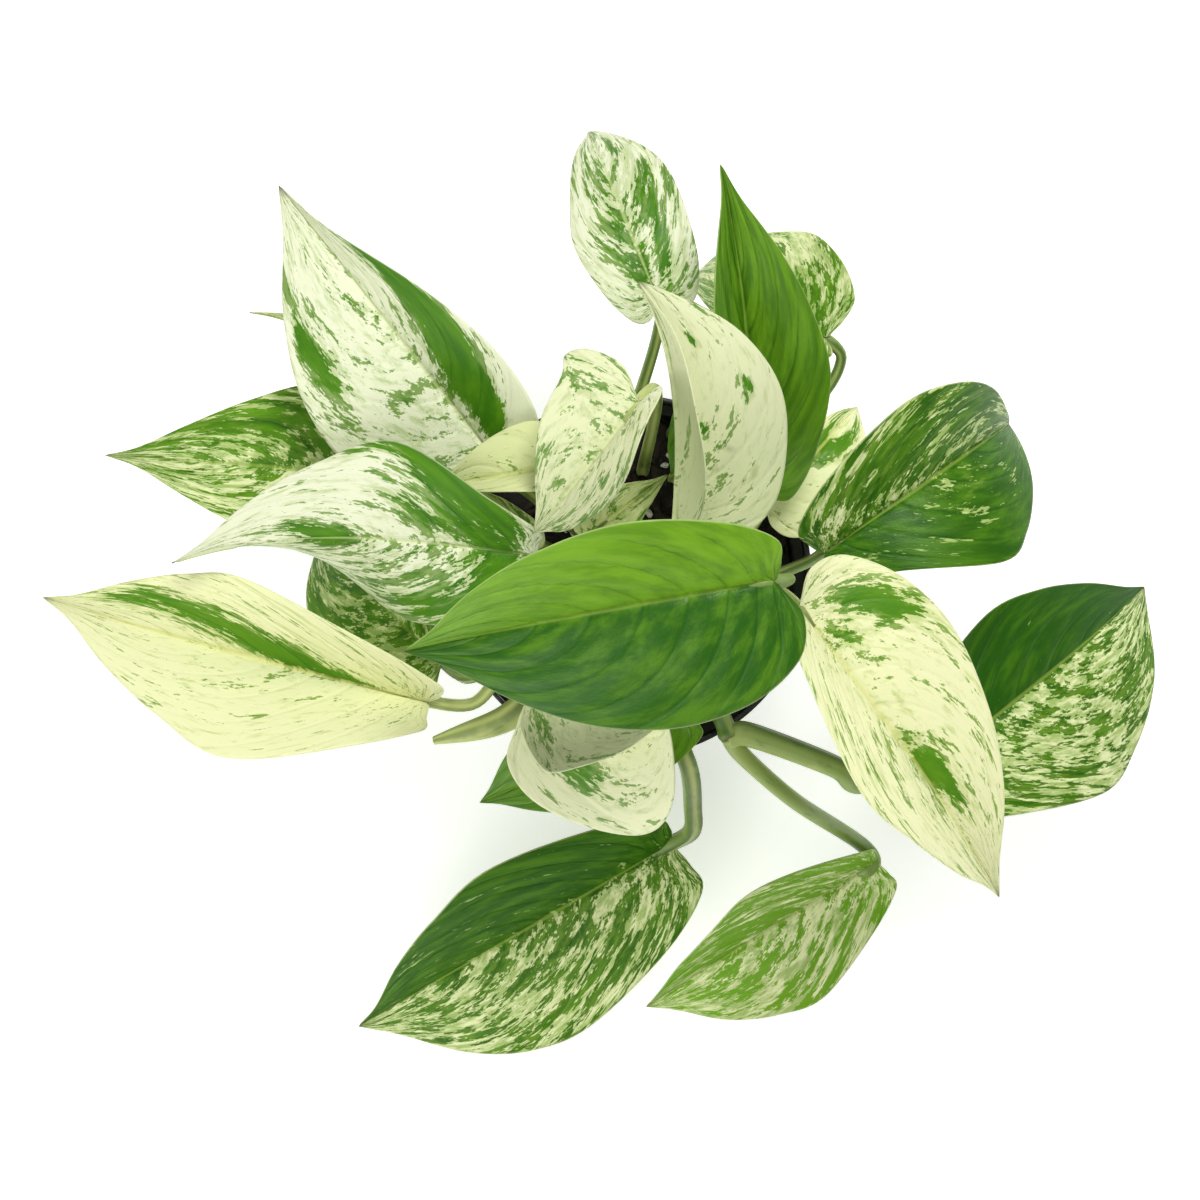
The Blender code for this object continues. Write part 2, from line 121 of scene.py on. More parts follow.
class Value:
    """A shader socket; used in an expression, it adds Math nodes."""

    def __init__(self, finish, socket):
        self.finish = finish
        self.socket = socket

    def math(self, operation, *others, swap=False):
        terms = (*others, self) if swap else (self, *others)
        return self.finish.node("ShaderNodeMath", {"operation": operation}, dict(enumerate(terms)))

    def __add__(self, other):
        return self.math("ADD", other)

    def __sub__(self, other):
        return self.math("SUBTRACT", other)

    def __rsub__(self, other):
        return self.math("SUBTRACT", other, swap=True)

    def __mul__(self, other):
        return self.math("MULTIPLY", other)

    def __truediv__(self, other):
        return self.math("DIVIDE", other)

    def __pow__(self, other):
        return self.math("POWER", other)

    __radd__ = __add__
    __rmul__ = __mul__

    def size(self):
        return self.math("ABSOLUTE")

    def wave(self):
        return self.math("SINE")

    def step(self, start, end):
        """0 below start, 1 above end, smooth between."""
        return self.finish.node(
            "ShaderNodeMapRange", {"interpolation_type": "SMOOTHSTEP"},
            {"Value": self, "From Min": start, "From Max": end})


class Finish:
    """One material under construction."""

    def __init__(self, name):
        self.material = bpy.data.materials.new(name)
        self.material.use_nodes = True
        self.tree = self.material.node_tree
        self.shader = self.tree.nodes["Principled BSDF"]

    def node(self, kind, settings=None, inputs=None, output=0):
        made = self.tree.nodes.new(kind)
        for key, value in (settings or {}).items():
            setattr(made, key, value)
        self.feed(made, inputs or {})
        return Value(self, made.outputs[output])

    def feed(self, node, inputs):
        for key, value in inputs.items():
            if isinstance(value, Value):
                self.tree.links.new(value.socket, node.inputs[key])
            else:
                node.inputs[key].default_value = value

    def attribute(self, name):
        return self.node("ShaderNodeAttribute", {"attribute_name": name}, output="Fac")

    def uv(self, name):
        return self.node("ShaderNodeUVMap", {"uv_map": name})

    def object_place(self):
        return self.node("ShaderNodeTexCoord", output="Object")

    def part(self, vector, axis):
        return self.node("ShaderNodeSeparateXYZ", inputs={0: vector}, output=axis)

    def stretch(self, vector, *scale):
        return self.node("ShaderNodeVectorMath", {"operation": "MULTIPLY"}, {0: vector, 1: scale})

    def noise(self, place, scale=1.0, detail=3.0, rough=0.55, warp=0.0):
        return self.node("ShaderNodeTexNoise", inputs={
            "Vector": place, "Scale": scale, "Detail": detail, "Roughness": rough, "Distortion": warp})

    def cells(self, place, scale):
        return self.node("ShaderNodeTexVoronoi", inputs={"Vector": place, "Scale": scale},
                         output="Distance")

    def blend(self, low, high, share):
        return self.node("ShaderNodeMix", {"data_type": "RGBA"}, {0: share, 6: low, 7: high}, output=2)

    def bump(self, height, distance, strength=1.0):
        return self.node("ShaderNodeBump",
                         inputs={"Height": height, "Distance": distance, "Strength": strength})

    def done(self, **sockets):
        self.feed(self.shader, {key.replace("_", " "): value for key, value in sockets.items()})
        return self.material


Palette = namedtuple("Palette", "pale washed fresh deep rib gloss", defaults=[0.12])

PALETTES = {
    "green": Palette("c8d890", "94b060", "7aac20", "245a08", "86a83c", 0.24),
    "marbled": Palette("e2e8b0", "82a63a", "6aa01a", "245608", "90ac48"),
    "white": Palette("e4e8bc", "b8c688", "609222", "3a7818", "d6dea4"),
    "white_green": Palette("e6eaca", "aec07c", "609418", "2c660a", "c4d48c"),
    "cream": Palette("eef0bc", "bccc78", "6a9a20", "427c16", "dcde84"),
    "pale": Palette("dae0a4", "aabc70", "669228", "3e7618", "c4ce7c"),
}


def leaf_finish(name, palette, underside):
    """Variegated leaf skin: flecks that follow the side veins, on patches painted on the blade."""
    skin = Finish(name)
    seed = skin.attribute("seed")
    flat = skin.uv("veins")
    place = skin.node("ShaderNodeVectorMath", {"operation": "ADD"}, {
        0: flat, 1: skin.node("ShaderNodeCombineXYZ", inputs={"Z": seed})})
    out, along = skin.part(flat, "X"), skin.part(flat, "Y")
    green, reach, brown = (skin.attribute(a) for a in ("green", "reach", "brown"))

    flecks = skin.noise(skin.stretch(place, 2.1, 2.4, 1.0), detail=5.0, rough=0.62, warp=0.2)
    specks = skin.noise(skin.stretch(place, 8.0, 8.5, 2.0), detail=3.0, rough=0.6)
    clouds = skin.noise(skin.stretch(place, 0.6, 1.1, 1.5), detail=2.0)
    spread = (flecks - 0.5) * 2.5 + (specks - 0.5) * 1.4 + (clouds - 0.5) * 1.2
    crisp = (spread + green).step(0.47, 0.55)
    under_layer = skin.noise(skin.stretch(place, 3.4, 3.2, 3.0), detail=5.0, rough=0.62, warp=0.3)
    soft = ((under_layer - 0.5) * 2.6 + green).step(0.15, 0.8)

    tone = skin.noise(skin.stretch(place, 1.6, 1.6, 2.5), detail=5.0, rough=0.6)
    # Painted light: the per-half lightness attribute makes the green lighter where light shines
    # through the blade and darker on shaded halves, over the leaf's own tone.
    depth = tone.step(0.28, 0.7) * 0.36 + (1 - skin.attribute("youth")) * 0.85 - 0.07
    side_veins = (along * (10 * math.pi / VEIN_SPACING)).wave().size()
    vein_line = (1 - side_veins.step(0.0, 0.2)) * (1 - reach.step(0.7, 0.95))
    leafy = skin.blend(tint(palette.fresh), tint(palette.deep),
                       (depth + vein_line * 0.16).step(0.0, 1.0))
    leafy = skin.blend(leafy, tint(palette.washed), (1 - soft) * 0.45)
    ground = skin.blend(tint(palette.pale), tint(palette.washed), soft * 0.75)
    colour = skin.blend(ground, leafy, crisp)

    rib_line = 1 - out.size().step(0.02, 0.085)
    colour = skin.blend(colour, tint(palette.rib), rib_line * 0.55)
    colour = skin.blend(colour, tint(palette.pale), reach.step(0.985, 0.998) * 0.45)
    colour = skin.blend(colour, tint("4a3018"), brown)
    if underside:
        colour = skin.blend(colour, tint(palette.washed), 0.16)

    grain = skin.cells(place, 16.0)
    height = side_veins.step(0.0, 0.35) * 0.6 + grain * 0.2 + tone * 0.9
    rough = 0.29 + 0.16 * under_layer + (0.18 if underside else 0.0)
    return skin.done(Base_Color=colour, Roughness=rough, Normal=skin.bump(height, 0.35 * MM, 0.7),
                     Specular_IOR_Level=palette.gloss, Subsurface_Weight=0.05,
                     Subsurface_Radius=(0.7, 1.0, 0.3), Subsurface_Scale=FLESH_SCATTER)


def stem_finish(name, pale, green, dark):
    """Fleshy stem: fine lengthwise streaks, paler at the foot."""
    skin = Finish(name)
    flat = skin.uv("stem")
    streaks = skin.noise(skin.stretch(flat, 5.0, 0.8, 1.0), detail=3.0)
    blotch = skin.noise(skin.object_place(), scale=120.0, detail=2.0)
    around = skin.part(flat, "X")
    colour = skin.blend(tint(green), tint(pale), skin.attribute("paleness"))
    colour = skin.blend(colour, tint(dark), around.step(0.28, 0.38) * 0.6)
    colour = skin.blend(colour, tint(pale), around.step(0.41, 0.48) * 0.6)
    colour = skin.blend(colour, tint(dark), streaks.step(0.5, 0.72) * 0.5)
    colour = skin.blend(colour, tint(pale), blotch.step(0.55, 0.75) * 0.25)
    colour = skin.blend(colour, tint("6a5230"), skin.attribute("scar"))
    return skin.done(Base_Color=colour, Roughness=0.34 + 0.2 * blotch,
                     Normal=skin.bump(streaks, 0.2 * MM, 0.6), Subsurface_Weight=0.1,
                     Subsurface_Radius=(0.6, 1.0, 0.3), Subsurface_Scale=FLESH_SCATTER)


def pot_finish():
    """Satin black moulded plastic with faint turning marks, and patches of dust."""
    skin = Finish("black_pot_plastic")
    place = skin.object_place()
    rings = skin.noise(skin.stretch(place, 12.0, 12.0, 900.0), detail=2.0)
    orange_peel = skin.noise(place, scale=900.0, detail=2.0)
    dust = skin.noise(place, scale=90.0, detail=5.0, rough=0.65).step(0.54, 0.75)
    colour = skin.blend(tint("0f0f11"), tint("34322e"), dust * 0.5)
    return skin.done(Base_Color=colour, Roughness=0.3 + 0.1 * rings + 0.3 * dust,
                     Normal=skin.bump(rings * 0.5 + orange_peel * 0.4, 0.12 * MM, 0.5))


def soil_finish():
    """Dark damp peat, crumbly, with a few lighter fibres."""
    skin = Finish("peat_soil")
    place = skin.object_place()
    crumbs = skin.noise(place, scale=650.0, detail=6.0, rough=0.7)
    lumps = skin.cells(place, 420.0)
    fibres = skin.noise(skin.stretch(place, 900.0, 160.0, 400.0), detail=2.0, warp=1.5)
    colour = skin.blend(tint("0a0806"), tint("241a12"), crumbs.step(0.42, 0.72))
    colour = skin.blend(colour, tint("7a6648"), fibres.step(0.66, 0.72) * 0.5)
    return skin.done(Base_Color=colour, Roughness=0.75 + 0.2 * lumps,
                     Normal=skin.bump(crumbs * 0.8 + lumps * 0.6, 0.9 * MM))


def grain_finish(name, light, dark, bump):
    """A loose grain in the soil, such as perlite or bark."""
    skin = Finish(name)
    place = skin.object_place()
    pits = skin.noise(place, scale=1600.0, detail=4.0, rough=0.65)
    colour = skin.blend(tint(light), tint(dark), pits.step(0.45, 0.68))
    return skin.done(Base_Color=colour, Roughness=0.8 + 0.15 * pits, Normal=skin.bump(pits, bump))


# ---------------------------------------------------------------- leaf shapes

Shape = namedtuple("Shape", "lobe shoulder peak taper")
HEART = Shape(0.06, 1.0, 0.30, 1.0)
SLIM = Shape(0.03, 0.75, 0.38, 0.95)

Leaf = namedtuple("Leaf", "base length width heading pitch fold cup shape roll root stalk skin look")
Look = namedtuple("Look", "share patches youth wave waves pucker tip scars stem")


def look(share, patches=(), youth=(0.5, 0.5), wave=0.8, waves=2.5, pucker=0.35, tip=0.5, scars=(),
         stem=0.2):
    """How a blade is coloured and rippled.

    share is how green the (left, right) halves are, and the third argument how light that green is
    per half: painted light shining through the blade and painted shade, on top of the leaf's own
    tone. patches are (across, row, across reach, row reach, amount) and scars (across, row, amount).
    wave and pucker are millimetres, and waves is how many there are along the blade. tip is how brown
    the tip is, and stem how pale the petiole is.
    """
    return Look(share, patches, youth, wave, waves, pucker, tip, scars, stem)


def leaf(base, length, width, heading, pitch, skin, how, fold=(12, 12), cup=(-25, -25),
         shape=(HEART, HEART), roll=0, root=(0, 0), stalk=1.6):
    """One leaf as the frame has it: millimetres and degrees, base height over the rim."""
    pairs = tuple(f if isinstance(f, tuple) else (f, f) for f in fold)
    return Leaf(base, length, width, heading, pitch, pairs, cup, shape, roll, root, stalk, skin, how)


LEAVES = {
    "leaf_top_green": leaf(
        (38, -2, 95), 109, (37, 30), (190, 193), (4, -36), "green",
        look((1.5, 1.5), youth=(0.22, 0.78), wave=0.6, pucker=1.5, tip=0.1),
        fold=(0, 52), cup=(-30, -20), shape=(HEART, Shape(0.02, 0.85, 0.32, 1.0)), root=(14, -12)),
    "leaf_white_folded": leaf(
        (13, 13, 42), 77, (18, 31), (88, 122), (42, 0), "white",
        look((0.1, 0.15), ((-0.2, 0.57, 0.06, 0.025, 1.0), (-0.7, 0.65, 0.06, 0.02, 0.9),
                           (-0.45, 0.80, 0.05, 0.02, 0.9), (-0.75, 0.45, 0.05, 0.02, 0.7),
                           (-0.3, 0.30, 0.06, 0.02, 0.7), (0.3, 0.85, 0.3, 0.05, 0.4)),
             tip=0.9, scars=((-0.1, 0.42, 0.5), (-0.45, 0.5, 0.3)), stem=0.8),
        fold=((118, 112), (4, 10)), cup=(-10, -22), shape=(SLIM, Shape(0.05, 1.0, 0.34, 1.4)),
        root=(8, 2)),
    "leaf_dark_tall": leaf(
        (37, 25, 18), 101, (22, 23), (95, 103), (43, 2), "green",
        look((1.5, 1.5), youth=(0.48, 0.56), wave=0.6, pucker=1.2, tip=0.2),
        fold=(60, 22), cup=(-10, -25), shape=(SLIM, SLIM), root=(17, 19)),
    "leaf_back_striped": leaf(
        (8, 79, 28), 76, (17, 18), (112, 106), (12, -80), "white_green",
        look((0.3, 0.34), ((0.15, 0.35, 0.25, 0.5, 0.4), (-0.45, 0.4, 0.15, 0.4, 0.5)), tip=0.6),
        fold=(6, 4), shape=(Shape(0.06, 0.9, 0.34, 0.6), Shape(0.06, 1.0, 0.32, 1.35)),
        root=(-2, 40)),
    "leaf_back_right": leaf(
        (57, 69, 20), 78, (10, 27), (150, 138), (-26, -84), "marbled",
        look((0.5, 0.42), ((-0.3, 0.3, 0.25, 0.25, 0.5), (-0.8, 0.2, 0.2, 0.1, 0.3))),
        fold=(10, 6), shape=(HEART, Shape(0.03, 0.9, 0.33, 1.0)), root=(26, 24)),
    "leaf_back_pale": leaf(
        (33, 54, -24), 40, (9, 10), (112, 116), (-10, -50), "pale",
        look((0.1, 0.15), stem=0.7), shape=(Shape(0.0, 0.8, 0.3, 1.0), Shape(0.0, 0.8, 0.3, 1.0))),
    "leaf_cream_patch": leaf(
        (40, 20, 6), 50, (8, 18), (48, 46), (26, -70), "cream",
        look((0.15, 0.08), ((0.0, 0.62, 0.9, 0.10, 0.9),), stem=0.6), root=(28, 2)),
    "leaf_right_marbled": leaf(
        (54, 6, 55), 89, (27, 31), (35, 31), (12, -78), "marbled",
        look((0.66, 0.95), ((0.5, 0.25, 0.40, 0.10, -0.35), (-0.15, 0.60, 0.20, 0.12, -0.35)),
             youth=(0.3, 0.3), tip=0.1),
        fold=(46, 12), cup=(-20, -20),
        shape=(Shape(0.02, 0.8, 0.40, 1.0), Shape(0.0, 0.42, 0.46, 1.2)), root=(24, -6)),
    "leaf_cream_front": leaf(
        (46, -9, 68), 112, (32, 29), (-52, -60), (0, -42), "cream",
        look((0.18, 0.22), ((0.7, 0.33, 0.22, 0.07, 1.1), (0.15, 0.67, 0.20, 0.08, 1.0),
                            (0.25, 0.28, 0.20, 0.05, 0.6)), tip=0.6, stem=0.7),
        fold=(2, 60), cup=(-25, -15), shape=(Shape(0.06, 1.0, 0.30, 0.9), Shape(0.0, 0.6, 0.40, 0.85)),
        root=(24, -12)),
    "leaf_far_right": leaf(
        (88, -57, 2), 109, (27, 41), (36, 38), (-10, -54), "marbled",
        look((1.2, 0.5), ((-0.5, 0.12, 0.5, 0.1, 0.25),), youth=(0.15, 0.3), wave=1.0),
        fold=(22, 4), cup=(-20, -30), shape=(SLIM, Shape(0.03, 0.66, 0.44, 1.1)), stalk=3.0),
    "leaf_front_low": leaf(
        (13, -83, -45), 124, (38, 33), (211, 213), (-6, -32), "marbled",
        look((0.5, 0.9), ((-0.5, 0.4, 0.4, 0.3, 0.2),), youth=(0.35, 0.3), wave=1.0, pucker=0.6),
        fold=(2, 52), cup=(-20, -15),
        shape=(Shape(0.02, 0.75, 0.44, 1.25), Shape(0.03, 0.75, 0.38, 0.8)), stalk=2.6),
    "leaf_white_curled": leaf(
        (-30, -36, 26), 52, (25, 36), (-16, 25), (-5, 75), "white",
        look((0.24, 0.18), ((-0.5, 0.45, 0.2, 0.1, 0.6), (0.5, 0.3, 0.2, 0.1, 0.6)), tip=0.9,
             stem=0.6),
        fold=((138, 126), (-6, 0)), cup=(0, -30),
        shape=(Shape(0.01, 0.8, 0.32, 1.1), Shape(0.02, 0.9, 0.46, 1.4)), root=(-8, -30)),
    "leaf_shade_front": leaf(
        (17, -41, 16), 75, (16, 20), (203, 205), (-6, -42), "green", look((1.3, 1.3)),
        fold=(20, 30), shape=(SLIM, SLIM), root=(-2, -20)),
    "leaf_front_right_low": leaf(
        (76, -88, -35), 87, (28, 24), (213, 215), (-8, -20), "marbled",
        look((0.48, 0.6), ((0.1, 0.35, 0.2, 0.25, -0.2),), youth=(1.25, 1.1), wave=1.0),
        fold=(4, 60), cup=(-25, -10), shape=(Shape(0.02, 0.6, 0.44, 1.2), SLIM), stalk=2.3),
    "leaf_back_left": leaf(
        (-39, 33, 22), 101, (36, 24.5), (128, 129), (12, 0), "white_green",
        look((0.24, 0.26), ((-0.45, 0.30, 0.20, 0.10, 1.2), (-0.50, 0.48, 0.30, 0.10, 1.2),
                            (-0.75, 0.62, 0.30, 0.08, 1.1), (-0.95, 0.33, 0.20, 0.12, -1.0),
                            (0.75, 0.65, 0.14, 0.05, 1.1)), tip=0.8, stem=0.5),
        fold=(4, (40, 60)), cup=(-25, -15),
        shape=(Shape(0.06, 1.0, 0.30, 1.2), Shape(0.06, 1.05, 0.27, 0.75)), root=(-16, 14)),
    "leaf_left_marbled": leaf(
        (-66, 28, 8), 95, (24, 26), (174, 177), (-4, -22), "marbled",
        look((0.45, 0.48), ((-0.5, 0.5, 0.4, 0.25, 0.2),), tip=0.2),
        fold=(16, 16), shape=(Shape(0.04, 1.0, 0.3, 0.7), Shape(0.04, 1.0, 0.3, 0.6)), root=(-24, 8)),
    "leaf_left_white": leaf(
        (-28, 6, 36), 108, (29, 30), (173, 200), (4, -20), "white_green",
        look((0.36, 0.2), ((-0.95, 0.42, 0.35, 0.10, 1.3), (-0.1, 0.68, 0.22, 0.06, 1.1),
                           (-0.35, 0.45, 0.15, 0.05, 0.7), (-0.25, 0.26, 0.40, 0.10, 1.1),
                           (0.55, 0.30, 0.45, 0.12, 0.7)), stem=0.6),
        fold=((14, -112), (48, 8)), cup=(-20, -25), shape=(SLIM, Shape(0.01, 0.5, 0.37, 0.65)),
        root=(-12, 2)),
    "leaf_far_left_cream": leaf(
        (-60, -37, 10), 122, (43, 25), (166, 163), (2, -20), "cream",
        look((0.12, 0.2), ((-0.2, 0.50, 0.18, 0.10, 1.0), (-0.1, 0.34, 0.10, 0.08, 0.8),
                           (-0.6, 0.70, 0.35, 0.09, 0.75), (0.5, 0.62, 0.06, 0.02, 0.6)),
             tip=0.6, stem=0.9),
        fold=((62, 44), (60, 10)), cup=(-10, -20),
        shape=(Shape(0.01, 0.62, 0.38, 0.7), Shape(0.03, 0.7, 0.47, 0.85)), stalk=1.9),
    "leaf_shade_left": leaf(
        (-56, -26, -4), 76, (27, 10), (137, 137), (-20, -64), "marbled", look((0.62, 0.66)),
        shape=(HEART, Shape(0.0, 0.8, 0.3, 1.0))),
    "leaf_small_cream": leaf(
        (-16, 32, 42), 42, (9, 14), (189, 187), (-8, -20), "pale",
        look((0.1, 0.08), tip=0.9, stem=0.8), fold=(60, 16), root=(-14, 24)),
    "leaf_heart_white": leaf(
        (2, 48, 67), 53, (21, 22), (232, 227), (-7, -47), "white",
        look((0.27, 0.3), tip=0.2, stem=0.8),
        fold=((74, 46), 8), cup=(-10, -30),
        shape=(Shape(0.14, 1.0, 0.28, 1.0), Shape(0.10, 1.5, 0.16, 0.95)), root=(4, 32)),
    "leaf_hidden_left": leaf(
        (-66, 52, -12), 59, (11, 11), (138, 178), (6, -24), "pale", look((0.45, 0.45)),
        fold=(14, 14), roll=76),
    "leaf_inner_pale": leaf(
        (-30, 8.5, 9), 28, (9, 9), (136, 140), (34, 0), "pale", look((0.4, 0.4)),
        fold=(50, 50), root=(-18, -3)),
    "leaf_inner_striped": leaf(
        (-12, 12, 10), 30, (10, 10), (38, 36), (24, 6), "pale", look((0.35, 0.35)),
        fold=(50, 50), root=(-2, 4)),
    "leaf_inner_dark": leaf(
        (25, 50, 28), 27, (9, 9), (236, 240), (-8, -40), "green", look((1.3, 1.3)), root=(13, 43)),
}


def spline(points, t):
    """A smooth curve through evenly spaced points, at t from 0 to 1."""
    spans = len(points) - 1
    i = min(int(t * spans), spans - 1)
    f = t * spans - i
    before = points[i - 1] if i else [2 * a - b for a, b in zip(points[0], points[1])]
    after = points[i + 2] if i + 2 <= spans else [2 * a - b for a, b in zip(points[-1], points[-2])]
    return [
        0.5 * (2 * p1 + (p2 - p0) * f + (2 * p0 - 5 * p1 + 4 * p2 - p3) * f * f
               + (3 * p1 - 3 * p2 + p3 - p0) * f ** 3)
        for p0, p1, p2, p3 in zip(before, points[i], points[i + 1], after)
    ]


def mix(pair, share):
    return pair[0] + (pair[1] - pair[0]) * share


def outline(shape):
    """Half of a blade's edge, from the sinus round the basal lobe to the tip."""
    rest = 1 - shape.peak
    return (
        (-0.010, 0.035),
        (-shape.lobe, 0.30 * shape.shoulder),
        (-0.5 * shape.lobe, 0.62 * shape.shoulder),
        (0.36 * shape.peak, 0.90 * shape.shoulder ** 0.6),
        (shape.peak, 1.00),
        (shape.peak + 0.30 * rest, 0.86 * shape.taper ** 0.3),
        (shape.peak + 0.58 * rest, 0.56 * shape.taper ** 0.6),
        (shape.peak + 0.82 * rest, 0.20 * shape.taper),
        (1.000, 0.00),
    )


class Midrib:
    """The arc that a blade is laid along, with its side and up directions."""

    def __init__(self, design):
        x, y, z = design.base
        self.design = design
        self.length = design.length * MM
        place = Vector((x * MM, y * MM, POT_HEIGHT + z * MM))
        self.stations = []
        for step in range(MIDRIB_STEPS + 1):
            forward, side, up = self.directions(step / MIDRIB_STEPS)
            self.stations.append((place.copy(), forward, side, up))
            place += forward * self.length / MIDRIB_STEPS

    def directions(self, share):
        heading = math.radians(mix(self.design.heading, share ** HEADING_LAG))
        pitch = math.radians(mix(self.design.pitch, share))
        roll = math.radians(self.design.roll)
        forward = Vector((math.cos(pitch) * math.cos(heading), math.cos(pitch) * math.sin(heading),
                          math.sin(pitch)))
        level = Vector((-math.sin(heading), math.cos(heading), 0))
        above = forward.cross(level)
        side = level * math.cos(roll) + above * math.sin(roll)
        return forward, side, forward.cross(side)

    def at(self, share):
        """Place, side and up at a share of the length; the lobes behind the base go straight on."""
        spot = max(0.0, min(share, 1.0)) * MIDRIB_STEPS
        i = min(int(spot), MIDRIB_STEPS - 1)
        first, second = self.stations[i], self.stations[i + 1]
        place, forward, side, up = (a.lerp(b, spot - i) for a, b in zip(first, second))
        place = place + forward * min(share, 0.0) * self.length
        return place, side.normalized(), up.normalized()


def blade_point(midrib, row, across):
    """A point of the blade: row from the sinus to the tip, across from -1, right, to 1, left."""
    design = midrib.design
    reach = abs(across)
    half = 0 if across > 0 else 1
    along_edge, out_edge = spline(outline(design.shape[half]), row)
    start = row ** 1.5
    along = start + (along_edge - start) * reach ** 1.25
    width = design.width[half] * MM
    out = max(out_edge, 0.0) * reach
    fold = math.radians(mix(design.fold[half], max(along, 0.0)))
    cup = math.radians(design.cup[half]) or 1e-6
    place, side, up = midrib.at(along)
    sideways = (math.sin(fold + cup * out) - math.sin(fold)) * width / cup
    rise = (math.cos(fold) - math.cos(fold + cup * out)) * width / cup
    return place + side * (sideways if across > 0 else -sideways) + up * rise


def vein_place(row, across):
    """Where a side vein through this point leaves the midrib, as a share of the rows."""
    return row - VEIN_SWEEP * np.abs(across) ** 1.35


def blade_normals(points):
    ahead = np.gradient(points, axis=0)
    left = np.gradient(points, axis=1)
    normals = np.cross(ahead, left)
    lengths = np.linalg.norm(normals, axis=2, keepdims=True)
    normals = normals / np.maximum(lengths, 1e-12)
    normals[-1] = normals[-2]
    return normals


def relief(design, row, across, seed):
    """How far the blade's upper face stands off its plain sheet, in metres."""
    how = design.look
    reach = np.abs(across)
    width = np.where(across > 0, *design.width) * MM
    phase = seed + np.where(across > 0, 0.0, 2.1)
    ripple = how.wave * reach ** 2.5 * np.sin(math.tau * how.waves * row + phase)
    ripple = ripple * np.sin(math.pi * row)
    veins = vein_place(row, across) + 0.012 * np.sin(23 * row + 3 * seed)
    quilt = np.abs(np.sin(math.pi * design.length / VEIN_SPACING * veins)) ** 0.6 - 0.6
    quilt = how.pucker * quilt * np.sin(math.pi * reach) ** 0.7 * np.sin(math.pi * row) ** 0.6
    channel = np.exp(-(reach * width / CHANNEL_WIDTH) ** 2) * (1 - row) ** 0.5
    return (ripple + quilt) * MM - CHANNEL_DEPTH * channel


def by_half(pair, across):
    """A value that changes from the right half's to the left half's over the midrib."""
    return pair[1] + (pair[0] - pair[1]) * (0.5 + 0.5 * np.tanh(across / 0.03))


def paint_green(design, row, across):
    how = design.look
    green = by_half(how.share, across)
    for across_at, row_at, across_reach, row_reach, amount in how.patches:
        off_across = (across - across_at) / across_reach
        off_row = (vein_place(row, across) - vein_place(row_at, across_at)) / row_reach
        green = green + amount * np.exp(-(off_across ** 2 + off_row ** 2))
    return green


def paint_brown(design, row, across):
    how = design.look
    brown = how.tip * np.clip((row - 0.975) / 0.02, 0, 1)
    for across_at, row_at, amount in how.scars:
        off = ((across - across_at) / 0.05) ** 2 + ((row - row_at) / 0.008) ** 2
        brown = brown + amount * np.exp(-off)
    return brown


def give(mesh, name, values):
    layer = mesh.attributes.new(name, "FLOAT", "POINT")
    layer.data.foreach_set("value", np.ravel(values).astype(float))


def give_uv(mesh, name, across, along):
    layer = mesh.uv_layers.new(name=name)
    corners = np.empty(len(mesh.loops), dtype=int)
    mesh.loops.foreach_get("vertex_index", corners)
    flat = np.stack([np.ravel(across)[corners], np.ravel(along)[corners]], axis=1)
    layer.data.foreach_set("uv", flat.ravel())


def sheet_faces(rows, columns):
    """Quads of a grid whose points run column by column along each row."""
    return [(i * columns + j, (i + 1) * columns + j, (i + 1) * columns + j + 1, i * columns + j + 1)
            for i in range(rows - 1) for j in range(columns - 1)]


def weld(mesh, distance):
    shape = bmesh.new()
    shape.from_mesh(mesh)
    bmesh.ops.remove_doubles(shape, verts=shape.verts, dist=distance)
    bmesh.ops.dissolve_degenerate(shape, edges=shape.edges, dist=distance / 4)
    shape.to_mesh(mesh)
    shape.free()


def place_piece(name, mesh, finishes, slot, *nodes):
    """Adds a finished piece, riding on the plant's one body, in place of its frame nodes."""
    piece = bpy.data.objects.new(name, mesh)
    bpy.context.scene.collection.objects.link(piece)
    for finish in finishes:
        mesh.materials.append(finish)
    mesh.shade_smooth()
    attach(piece, BODY)
    if nodes:
        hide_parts(*nodes)
    return piece


